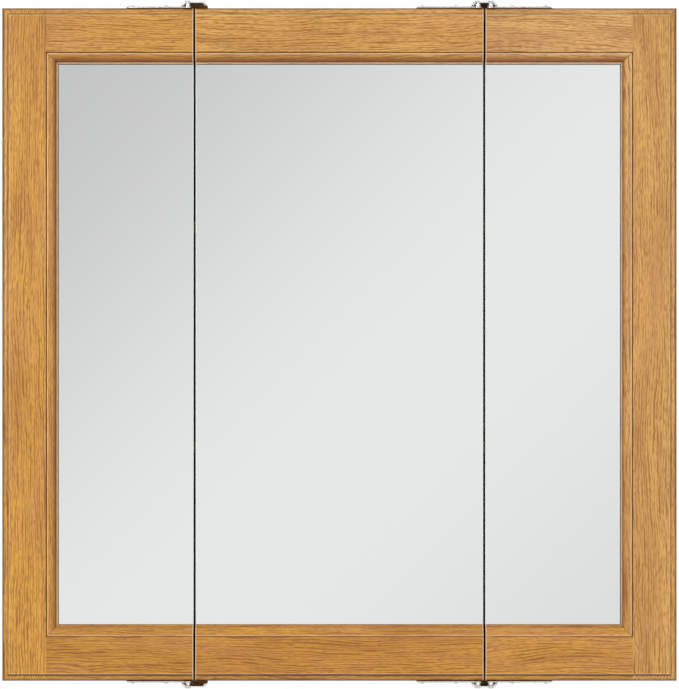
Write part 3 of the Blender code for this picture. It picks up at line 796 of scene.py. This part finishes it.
def add_mirror(name, body, materials):
    """A mirror: silvered face, polished chamfers and edges, and a painted back."""
    low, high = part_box(name)
    full = [(low.x, low.z), (high.x, low.z), (high.x, high.z), (low.x, high.z)]
    small = inset(full, MIRROR_CHAMFER)
    front_edge, back_edge = low.y + MIRROR_CHAMFER, high.y - MIRROR_CHAMFER
    rows = ((small, low.y), (full, front_edge), (full, back_edge), (small, high.y))
    bm = layered(rows)
    bm.faces.ensure_lookup_table()
    front, back, sides = 0, 1, range(6, 10)
    for number, face in enumerate(bm.faces):
        face.material_index = 1 if number in sides else 3
    bm.faces[front].material_index = 0
    bm.faces[back].material_index = 2
    add_piece(f"{name}_shown", bm, materials, body, [name], sharp=20)


# ---- hinges


def strap_outline(reach, shrink):
    """A strap from above, shrunk by a distance all round: +x runs along the arm, and +y is depth."""
    boss = STRAP_BOSS_R - shrink
    front, back = STRAP_FRONT - shrink, STRAP_BACK - shrink
    corner = STRAP_CORNER_R - shrink
    neck = math.hypot(STRAP_NECK, back)
    tangent = math.atan2(back, STRAP_NECK) + math.acos(boss / neck)
    throat = 2 * math.pi - math.asin(front / boss)
    outline = []
    for step in range(FINE_ROUND + 1):
        angle = tangent + (throat - tangent) * step / FINE_ROUND
        outline.append((boss * math.cos(angle), boss * math.sin(angle)))
    for first, y in ((-90, corner - front), (0, back - corner)):
        for step in range(CORNER_STEPS + 1):
            angle = math.radians(first + 90 * step / CORNER_STEPS)
            x = reach - shrink - corner + corner * math.cos(angle)
            outline.append((x, y + corner * math.sin(angle)))
    outline.append((STRAP_NECK, back))
    return outline


def add_strap(name, body, pivot, outwards, end, material):
    """A door's strap, with pressed edges, a ramped far end, and holes for its pivot and two screws."""
    low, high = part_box(name)
    reach = high.x - pivot.x if outwards > 0 else pivot.x - low.x
    bottom, top = heights(name)

    def place(x, y, height):
        return (pivot.x + outwards * x, pivot.y + y, end * (HALF_H + height))

    thick = top - bottom
    levels = (
        (reach, STRAP_EDGE / 2, bottom),
        (reach, 0.0, bottom + STRAP_EDGE / 2),
        (reach - thick + STRAP_EDGE, 0.0, top - STRAP_EDGE),
        (reach - thick + STRAP_EDGE / 3, STRAP_EDGE / 3, top - STRAP_EDGE / 3),
        (reach - thick, STRAP_EDGE, top),
    )
    bm = bmesh.new()
    add_loft(bm, [[place(x, y, h) for x, y in strap_outline(r, s)] for r, s, h in levels])
    strap = show(name, bm, material, body)
    centre = (STRAP_BACK - STRAP_FRONT) / 2
    spots = [(0.0, 0.0, PIVOT_HOLE_R)] + [(along, centre, STRAP_HOLE_R) for along in STRAP_SCREWS]
    depth = top + CUT_SPARE
    drill(strap, [(place(along, y, 0.0), (0, 0, end), radius, depth) for along, y, radius in spots])
    return [Vector(place(along, centre, top)) for along in STRAP_SCREWS]


def add_pivot(name, pivot, end, material):
    """A pivot: riveted head, shank through the bridge, shoulder, and the pin in the strap."""
    base, tip = heights(name)
    shoulder_low, shoulder_top = base + PIVOT_PIN_H, tip - SHOULDER_FROM_TIP
    head_low = tip - HEAD_H
    profile = [
        (0.0006, base),
        (PIVOT_R, base),
        (PIVOT_R, shoulder_low),
        (SHOULDER_R, shoulder_low),
        (SHOULDER_R, shoulder_top),
        (PIVOT_R, shoulder_top),
        (PIVOT_R, head_low),
        (HEAD_R, head_low),
        (HEAD_R, head_low + HEAD_RIM_H),
        (HEAD_R * 0.72, tip - 0.0001),
        (HEAD_R * 0.30, tip),
        (HEAD_R * 0.22, tip - HEAD_DIMPLE_D),
        (0.0002, tip - 0.00035),
    ]
    bm = bmesh.new()
    add_turned(bm, rounded(profile, PIVOT_EDGE), (pivot.x, pivot.y, end * HALF_H), (0, 0, end))
    show(name, bm, material, "cabinet")


def bridge_section(lift, narrow, half_top, half_base, top):
    """A bridge's section as (x, height) pairs, from flat on the box (lift 0) to raised (lift 1)."""
    flat_top = SEAT_GAP + BRIDGE_T
    crown = half_base - SEAT_GAP + (half_top - half_base + SEAT_GAP) * lift - narrow
    foot = half_base - narrow
    low = SEAT_GAP + (BRIDGE_SIDE_LOW - SEAT_GAP) * lift
    high = flat_top + (top - flat_top) * lift
    outer = [(-foot, low), (-crown, high), (crown, high), (foot, low)]
    inner = [(foot - BRIDGE_T, low), (crown - BRIDGE_T, high - BRIDGE_T)]
    return outer + inner + [(-x, z) for x, z in reversed(inner)]


def add_bridge(name, end, pivots, screws, material):
    """A bridge: one pressing, flat on the box, that ramps up to a hat-shaped nose over the doors."""
    low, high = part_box(name)
    top = heights(name)[1]
    gap_x, half_base = (low.x + high.x) / 2, (high.x - low.x) / 2
    half_top = half_base - BRIDGE_FLARE
    slope = BOX_FRONT_Y + BRIDGE_OVERHANG
    rows = []
    nose, rear = BRIDGE_NOSE_CORNER, 3 * BRIDGE_NOSE_CORNER
    for angle in quarter_turn(CORNER_STEPS):
        rows.append((low.y + nose * (1 - math.cos(angle)), 1.0, nose * (1 - math.sin(angle))))
    for step in range(BRIDGE_RAMP_ROWS + 1):
        t = step / BRIDGE_RAMP_ROWS
        rows.append((slope + BRIDGE_RAMP * t, 1.0 - t * t * (3 - 2 * t), 0.0))
    for angle in quarter_turn(CORNER_STEPS):
        rows.append((high.y - rear * (1 - math.sin(angle)), 0.0, rear * (1 - math.cos(angle))))
    bm = bmesh.new()
    sections = [(y, bridge_section(lift, narrow, half_top, half_base, top)) for y, lift, narrow in rows]
    add_loft(bm, [[(gap_x + x, y, end * (HALF_H + z)) for x, z in section] for y, section in sections])
    bridge = show(name, bm, material, "cabinet", sharp=30)
    spots = [(p, PIVOT_HOLE_R) for p in pivots] + [(s, SHANK_R + SEAT_GAP) for s in screws]
    seat, axis, depth = end * HALF_H, (0, 0, end), top + CUT_SPARE
    drill(bridge, [((at.x, at.y, seat), axis, radius, depth) for at, radius in spots], sharp=30)
    soften(bridge, BRIDGE_EDGE, 38)


def screw_mesh(material):
    """A cross-recessed pan-head wood screw, its head's underside at the origin and its axis along +Z."""
    dome = [(PAN_HEAD_R, 0.0), (PAN_HEAD_R, PAN_HEAD_H * 0.30)]
    for angle in quarter_turn(6)[1:]:
        up = 0.30 + 0.70 * math.sin(angle)
        dome.append((PAN_HEAD_R * (0.30 + 0.70 * math.cos(angle)), PAN_HEAD_H * up))
    shank = [(0.0001, -SHANK_L), (SHANK_R * 0.35, -SHANK_L + 0.0016)]
    pitch = (SHANK_L - 0.003) / THREADS
    root = SHANK_R * 0.72
    for turn in range(THREADS):
        base = -SHANK_L + 0.0018 + turn * pitch
        shank += [(root, base), (SHANK_R, base + pitch * 0.55), (root, base + pitch * 0.9)]
    shank += [(SHANK_R, -0.0006), (SHANK_R, 0.0)]
    bm = bmesh.new()
    add_turned(bm, shank + dome + [(0.0003, PAN_HEAD_H)], (0, 0, 0), (0, 0, 1), HOLE_ROUND)
    screw = add_object("screw", finish_mesh(bm, "screw", 40))
    screw.data.materials.append(material)
    floor, spare = PAN_HEAD_H - RECESS_D, 0.0005
    for reach, half in ((RECESS_REACH, RECESS_HALF_W), (RECESS_HALF_W, RECESS_REACH)):
        bar = bmesh.new()
        sections = []
        for taper, z in ((0.6, floor), (1.0, PAN_HEAD_H + spare)):
            a, b = reach * taper, half * taper
            sections.append([(x, y, z) for x, y in ((-a, -b), (a, -b), (a, b), (-a, b))])
        add_loft(bar, sections)
        boolean(screw, bar, sharp=40)
    mesh = screw.data
    bpy.data.objects.remove(screw)
    return mesh


def add_screw(name, mesh, place, axis, body, turn, nodes=(), scale=1.0):
    """A screw whose head sits at a place and points along an axis, its cross turned by an angle."""
    piece = add_object(name, mesh)
    rotation = Vector(axis).to_track_quat("Z", "Y").to_matrix().to_4x4()
    spin = Matrix.Rotation(turn, 4, "Z")
    piece.matrix_world = Matrix.Translation(place) @ rotation @ spin @ Matrix.Scale(scale, 4)
    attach(piece, body)
    if nodes:
        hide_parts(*nodes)


# ---- catches, strikes and bumpers


def rounded_outline(low, high, radius, shrink=0.0):
    """A box's outline from the front, with rounded corners, shrunk by a distance all round."""
    left, right = low.x + shrink, high.x - shrink
    bottom, top = low.z + shrink, high.z - shrink
    radius -= shrink
    outline = []
    corners = ((right, 1, top, 1), (left, -1, top, 1), (left, -1, bottom, -1), (right, 1, bottom, -1))
    for quarter, (x, side, z, end) in enumerate(corners):
        for step in range(CORNER_STEPS + 1):
            angle = math.radians(90) * (quarter + step / CORNER_STEPS)
            a, b = x - side * radius, z - end * radius
            outline.append((a + radius * math.cos(angle), b + radius * math.sin(angle)))
    return outline


def add_catch(name, plastic, metal, black, screw):
    """A magnetic catch: plastic body, two steel plates either side of a magnet, and two screws."""
    low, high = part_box(name)
    x, z = (low.x + high.x) / 2, (low.z + high.z) / 2
    outline = rounded_outline(low, high, CATCH_CORNER)
    body = layered([(outline, low.y), (outline, high.y)])
    catch = show(name, body, plastic, "cabinet")
    half_w, half_h = CATCH_FACE_W / 2, CATCH_FACE_H / 2
    floor = low.y + CATCH_FACE_D
    near, far = low.y - CUT_SPARE, floor + CATCH_FACE_EXTRA
    face = add_block(bmesh.new(), (x - half_w, near, z - half_h), (x + half_w, far, z + half_h))
    boolean(catch, face)
    soften(catch, CATCH_EDGE)
    clear, sunk = CATCH_RUN, floor + CATCH_PLATE_REACH
    for word, up in (("upper", 1), ("lower", -1)):
        a, b = sorted((up * (half_h - clear), up * (half_h - clear - CATCH_PLATE_T)))
        front = (x - half_w + clear, low.y + CATCH_PLATE_D, z + a)
        plate = add_block(bmesh.new(), front, (x + half_w - clear, sunk, z + b))
        plate = add_piece(f"{name}_{word}_plate", plate, [metal], "cabinet")
        soften(plate, CATCH_PLATE_EDGE)
    inner, half_magnet = half_h - 2 * clear - CATCH_PLATE_T, half_w - MAGNET_INSET
    front = (x - half_magnet, floor - clear, z - inner)
    block = add_block(bmesh.new(), front, (x + half_magnet, sunk, z + inner))
    add_piece(f"{name}_magnet", block, [black], "cabinet")
    for number, side in enumerate((-1, 1), 1):
        spot = (x + side * CATCH_SCREW_X, (low.y + high.y) / 2 + CATCH_SCREW_BACK, low.z)
        turn, scale = 0.5 * number, SMALL_HEAD_SCALE
        add_screw(f"{name}_screw_{number}", screw, spot, (0, 0, -1), "cabinet", turn, scale=scale)


def add_strike(name, door, metal, screw):
    """A strike plate: rounded steel with one screw through its middle."""
    low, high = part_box(name)
    x, z = (low.x + high.x) / 2, (low.z + high.z) / 2
    full = rounded_outline(low, high, STRIKE_CORNER)
    small = rounded_outline(low, high, STRIKE_CORNER, STRIKE_EDGE)
    body = layered([(full, low.y), (full, high.y - STRIKE_EDGE), (small, high.y)])
    strike = show(name, body, metal, door)
    drill(strike, [((x, low.y, z), (0, 1, 0), STRIKE_HOLE_R, STRIKE_HOLE_REACH)])
    spot = (x, high.y - STRIKE_SCREW_SUNK, z)
    add_screw(f"{name}_screw", screw, spot, (0, 1, 0), door, 0.7, scale=STRIKE_SCREW_SCALE)


def add_bumper(name, x, z, door, material):
    """A soft domed bumper stuck to a door's back where it meets the box."""
    dome = [(0.0004, 0.0), (BUMPER_R, 0.0), (BUMPER_R, BUMPER_H * 0.25)]
    for angle in quarter_turn(8)[1:]:
        up = BUMPER_H * (0.25 + 0.75 * math.sin(angle))
        dome.append((max(0.0002, BUMPER_R * math.cos(angle) ** 0.7), up))
    bm = add_turned(bmesh.new(), dome, (x, DOOR_BACK_Y, z), (0, 1, 0))
    add_piece(name, bm, [material], door)


# ---- box


def add_board(name, low, high, material, drills=(), blocks=()):
    """A board of the box, with softened edges, drilled holes and rebates."""
    board = show(name, add_block(bmesh.new(), low, high), material, "cabinet")
    if drills or blocks:
        drill(board, drills, blocks)
    soften(board, PANEL_EDGE)


def pin_places(name):
    """The (depth place, height) pairs of a shelf's pins."""
    centres = [middle(f"{name}_pin_right_{depth_word}") for depth_word in ("front", "back")]
    return [(centre.y, centre.z) for centre in centres]


def add_side_panel(name, side, material):
    """A side of the box, with the rebate for the back panel and its rows of shelf-pin holes."""
    low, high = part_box(name)
    inner = side * INSIDE_X
    drills = []
    for shelf in ("shelf_lower", "shelf_upper"):
        for y, z in pin_places(shelf):
            for row in range(PIN_ROWS):
                centre = (inner, y, z + (row - PIN_ROWS // 2) * PIN_ROW_PITCH)
                drills.append((centre, (side, 0, 0), PIN_HOLE_R, PIN_SUNK + SEAT_GAP))
    ends = sorted((side * (INSIDE_X - CUT_SPARE), side * (INSIDE_X + BACK_LAND)))
    top = INSIDE_Z + BACK_LAND
    rebate = ((ends[0], -BACK_T - SEAT_GAP, -top), (ends[1], CUT_SPARE, top))
    add_board(name, low, high, material, drills, [rebate])


def add_end_panel(name, end, material):
    """The top or bottom of the box, with the rebate for the back and the bridges' screw holes."""
    low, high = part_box(name)
    drills = []
    for word in ("left", "right"):
        for number in (1, 2):
            screw = middle(f"hinge_bridge_{word}_{'top' if end > 0 else 'bottom'}_screw_{number}")
            centre = (screw.x, screw.y, end * HALF_H)
            drills.append((centre, (0, 0, -end), SHANK_R + SEAT_GAP, SHANK_L))
    rows = sorted((end * (INSIDE_Z - CUT_SPARE), end * (INSIDE_Z + BACK_LAND)))
    front = -BACK_T - SEAT_GAP
    rebate = ((low.x - CUT_SPARE, front, rows[0]), (high.x + CUT_SPARE, CUT_SPARE, rows[1]))
    add_board(name, low, high, material, drills, [rebate])


def add_back(board, rail_material, metal):
    """The back panel with its staples, and the hanging rail, both drilled for the wall screws."""
    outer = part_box("hanging_rail")[1].x - WALL_SCREW_EDGE
    height = middle("hanging_rail").z
    spots = [(x, 0.0, height) for x in (-outer, -WALL_SCREWS, WALL_SCREWS, outer)]
    drills = [(spot, (0, -1, 0), WALL_SCREW_R, WALL_SCREW_REACH) for spot in spots]
    boards = (("back_panel", board, "back_board"), ("hanging_rail", rail_material, "box_board"))
    for name, material, slot in boards:
        low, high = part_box(name)
        high = Vector((high.x, min(high.y, -BACK_SUNK), high.z))
        add_board(name, low, high, material, drills)
    places = []
    back_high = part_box("back_panel")[1]
    inset_x, inset_z = back_high.x - BACK_LAND / 2, back_high.z - BACK_LAND / 2
    for half, other, upright in ((inset_x, inset_z, False), (inset_z, inset_x, True)):
        count = int(2 * half / STAPLE_PITCH)
        for number in range(count):
            along = -half + 2 * half * (number + 0.5) / count
            places += [((other, along) if upright else (along, other)) + (upright,)]
            places += [((-other, along) if upright else (along, -other)) + (upright,)]
    bm = bmesh.new()
    for x, z, upright in places:
        half_x, half_z = (STAPLE_T, STAPLE_W) if upright else (STAPLE_W, STAPLE_T)
        low = (x - half_x / 2, -BACK_SUNK - STAPLE_D, z - half_z / 2)
        add_block(bm, low, (x + half_x / 2, -STAPLE_BACK, z + half_z / 2))
    staples = add_piece("back_staples", bm, [metal], "cabinet")
    soften(staples, STAPLE_EDGE)


def add_shelf(name, board, metal):
    """A loose shelf, and the four pins it lies on."""
    low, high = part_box(name)
    add_board(name, low, high, board)
    for side_word, side in SIDES:
        for depth_word, (y, z) in zip(("front", "back"), pin_places(name)):
            pin = f"{name}_pin_{side_word}_{depth_word}"
            a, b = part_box(pin)
            reach = INSIDE_X - min(abs(a.x), abs(b.x))
            profile = [
                (0.0003, -PIN_SUNK),
                (PIN_R * 0.8, -PIN_SUNK),
                (PIN_R, -PIN_SUNK + 0.0005),
                (PIN_R, SEAT_GAP),
                (PIN_COLLAR_R, SEAT_GAP),
                (PIN_COLLAR_R, SEAT_GAP + PIN_COLLAR_T),
                (PIN_R, SEAT_GAP + PIN_COLLAR_T),
                (PIN_R, reach),
                (0.0003, reach),
            ]
            centre, axis = (side * INSIDE_X, y, z), (-side, 0, 0)
            bm = add_turned(bmesh.new(), rounded(profile, PIN_EDGE), centre, axis)
            show(pin, bm, metal, "cabinet")


# ---- studio


def add_floor():
    look = ("studio_floor", (3, 3, 3), 2.0, (236, 236, 234), (244, 244, 242))
    material, nodes, _, colour = grainy_material(*look)
    nodes.surface(Base_Color=colour, Roughness=0.7)
    bm = bmesh.new()
    corners = ((-1, -1), (1, -1), (1, 1), (-1, 1))
    bm.faces.new([bm.verts.new((x * FLOOR_HALF, y * FLOOR_HALF, FLOOR_Z)) for x, y in corners])
    floor = add_object("studio_floor", finish_mesh(bm, "studio_floor"))
    floor.data.materials.append(material)


def light_world():
    """White behind the object, a dim soft room round it, and a shaded card for the mirrors to face."""
    world = bpy.data.worlds.new("studio")
    world.use_nodes = True
    nodes = Nodes(world.node_tree)
    x, y, z = nodes.split(nodes.add("ShaderNodeTexCoord").outputs["Generated"])
    room = nodes.ramp(z, -0.35, 0.60, 0.30, 0.52)
    room = nodes.times(room, nodes.ramp(nodes.math("ABSOLUTE", x), 0.55, 0.95, 1.0, 0.45))
    slant = nodes.minus(x, z)
    card = nodes.ramp(slant, -0.17, 0.02, 0.57, 0.83)
    card = nodes.minus(card, nodes.ramp(slant, 0.05, 0.17, 0.0, 0.08))
    aside = nodes.math("SQRT", nodes.plus(nodes.math("POWER", x, 2.0), nodes.math("POWER", z, 2.0)))
    on_card = nodes.ramp(aside, 0.18, 0.34, 1.0, 0.0)
    on_card = nodes.times(on_card, nodes.ramp(y, -0.8, -0.6, 1.0, 0.0))
    extra = nodes.times(nodes.minus(card, room), on_card)
    level = nodes.plus(room, extra)
    seen = nodes.add("ShaderNodeLightPath").outputs["Is Camera Ray"]
    level = nodes.plus(level, nodes.times(nodes.minus(1.0, level), seen))
    background = nodes.add("ShaderNodeBackground", {"Color": (1.0, 1.0, 1.0, 1.0), "Strength": level})
    nodes.add("ShaderNodeOutputWorld", {"Surface": background.outputs[0]})
    bpy.context.scene.world = world


def add_light(name, place, size, power):
    """A square white lamp that faces the origin."""
    light = bpy.data.lights.new(name, "AREA")
    light.shape, light.size, light.energy = "SQUARE", size, power
    lamp = add_object(name, light)
    lamp.location = place
    lamp.rotation_euler = (-Vector(place)).to_track_quat("-Z", "Y").to_euler()


def add_camera():
    camera = add_object("camera", bpy.data.cameras.new("camera"))
    camera.location = (CAMERA_X, FACE_Y - CAMERA_AWAY, 0.0)
    camera.rotation_euler = (math.radians(90), 0.0, 0.0)
    camera.data.sensor_width = SENSOR_W
    camera.data.lens = SENSOR_W * CAMERA_AWAY / PICTURE_H
    bpy.context.scene.camera = camera


# ---- the cabinet

STEEL_SHEET = steel("pressed_steel", (240, 2600, 2600))
STEEL_TURNED = steel("turned_steel", (900, 900, 3200))
SCREW_STEEL = steel("screw_steel", (1400, 1400, 4200), 0.62)
PLASTIC = moulded_plastic()
MAGNET = magnet()
RUBBER = bumper_rubber()
GLASS = [
    silvering(),
    glass_edge("mirror_glass_edge", (120, 158, 142), (166, 196, 182)),
    mirror_paint(),
    glass_edge("mirror_glass_chamfer", (238, 246, 242), (250, 253, 251)),
]
HARDBOARD = hardboard("hardboard")
SCREW = screw_mesh(SCREW_STEEL)

# Each board's tint: darker on the bottom rails, and greyer on the pieces towards the right
TINTS = {
    "left_door_stile": (193, 133, 33),
    "right_door_stile": (192, 138, 62),
    "left_door_top_rail": (190, 132, 43),
    "centre_door_top_rail": (198, 143, 61),
    "right_door_top_rail": (196, 146, 79),
    "left_door_bottom_rail": (179, 119, 16),
    "centre_door_bottom_rail": (184, 122, 23),
    "right_door_bottom_rail": (186, 125, 27),
}


def add_doors():
    """The three doors. A stile side of 0 means the door has no stile, and lies between the others."""
    doors = (("left_door", -1, 1), ("centre_door", 0, 1), ("right_door", 1, -1))
    for number, (door, stile_side, hinge_side) in enumerate(doors):
        for place, end in ENDS:
            rail = f"{door}_{place}_rail"
            seed = 20 + 10 * number + end
            low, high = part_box(rail)
            cut_ends = [x for side, x in ((-1, low.x), (1, high.x)) if side != stile_side]
            wood = oak(rail, "XZY", seed, end * (HALF_H - 0.03), TINTS[rail], cut_ends)
            add_rail(rail, door, end, stile_side, wood)
            pivot = middle(f"{door}_{place}_pivot")
            add_pivot(f"{door}_{place}_pivot", pivot, end, STEEL_TURNED)
            strap = f"{door}_{place}_strap"
            spots = add_strap(strap, door, pivot, -hinge_side, end, STEEL_SHEET)
            for count, spot in enumerate(spots, 1):
                name, turn = f"{strap}_screw_{count}", 0.4 + 0.9 * count + number
                add_screw(name, SCREW, spot, (0, 0, end), door, turn, scale=SMALL_HEAD_SCALE)
        if stile_side:
            stile = f"{door}_stile"
            wood = oak(stile, "ZXY", 50 + number, stile_side * (HALF_W - 0.03), TINTS[stile])
            add_stile(stile, door, stile_side, wood)
        add_mirror(f"{door}_mirror", door, GLASS)
        low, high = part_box(f"{door}_backing")
        backing = add_block(bmesh.new(), low, high)
        soften(show(f"{door}_backing", backing, HARDBOARD, door), PANEL_EDGE)
        add_strike(f"{door}_strike", door, STEEL_SHEET, SCREW)
        add_catch(f"{door}_catch", PLASTIC, STEEL_SHEET, MAGNET, SCREW)
        for place, end in ENDS:
            if stile_side:
                spot = (stile_side * (INSIDE_X + SIDE_HIGH.x) / 2, end * (HALF_H - BUMPER_FROM_END))
            else:
                spot = (CENTRE_LOW.x + BUMPER_FROM_END / 2, end * (INSIDE_Z + HALF_H) / 2)
            add_bumper(f"{door}_{place}_bumper", *spot, door, RUBBER)


def add_hinge_bridges():
    """The bridges. The left ones hold one door's pivots, and the right ones hold two doors'."""
    for word, doors in (("left", ("left_door",)), ("right", ("centre_door", "right_door"))):
        for place, end in ENDS:
            name = f"hinge_bridge_{word}_{place}"
            held = [middle(f"{door}_{place}_pivot") for door in doors]
            screws = [middle(f"{name}_screw_{n}") for n in (1, 2)]
            add_bridge(name, end, held, screws, STEEL_SHEET)
            seat = HALF_H + SEAT_GAP + BRIDGE_T + SEAT_GAP / 3
            for n, centre in enumerate(screws, 1):
                spot = (centre.x, centre.y, end * seat)
                node = f"{name}_screw_{n}"
                add_screw(f"{node}_shown", SCREW, spot, (0, 0, end), "cabinet", 0.3 + n, [node])


def add_box():
    side_axes, flat_axes = "ZYX", "XYZ"
    for word, side in SIDES:
        board = laminate(f"side_laminate_{word}", side_axes, 71 + side, (-0.05, side * (INSIDE_X - 0.045)))
        add_side_panel(f"side_panel_{word}", side, board)
    for word, end in ENDS:
        board = laminate(f"{word}_laminate", flat_axes, 75 + end, (-0.05, end * (INSIDE_Z - 0.05)))
        add_end_panel(f"{word}_panel", end, board)
    rail = laminate("rail_laminate", "XZY", 81, (INSIDE_Z - 0.03, 0.04))
    add_back(HARDBOARD, rail, STEEL_SHEET)
    for number, name in enumerate(("shelf_lower", "shelf_upper")):
        low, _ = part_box(name)
        board = laminate(f"{name}_laminate", flat_axes, 91 + number, (-0.05, low.z - 0.05))
        add_shelf(name, board, STEEL_TURNED)


add_doors()
add_hinge_bridges()
add_box()
add_floor()
light_world()
for lamp in LAMPS:
    add_light(*lamp)
add_camera()
bpy.context.scene.view_settings.view_transform = "Standard"
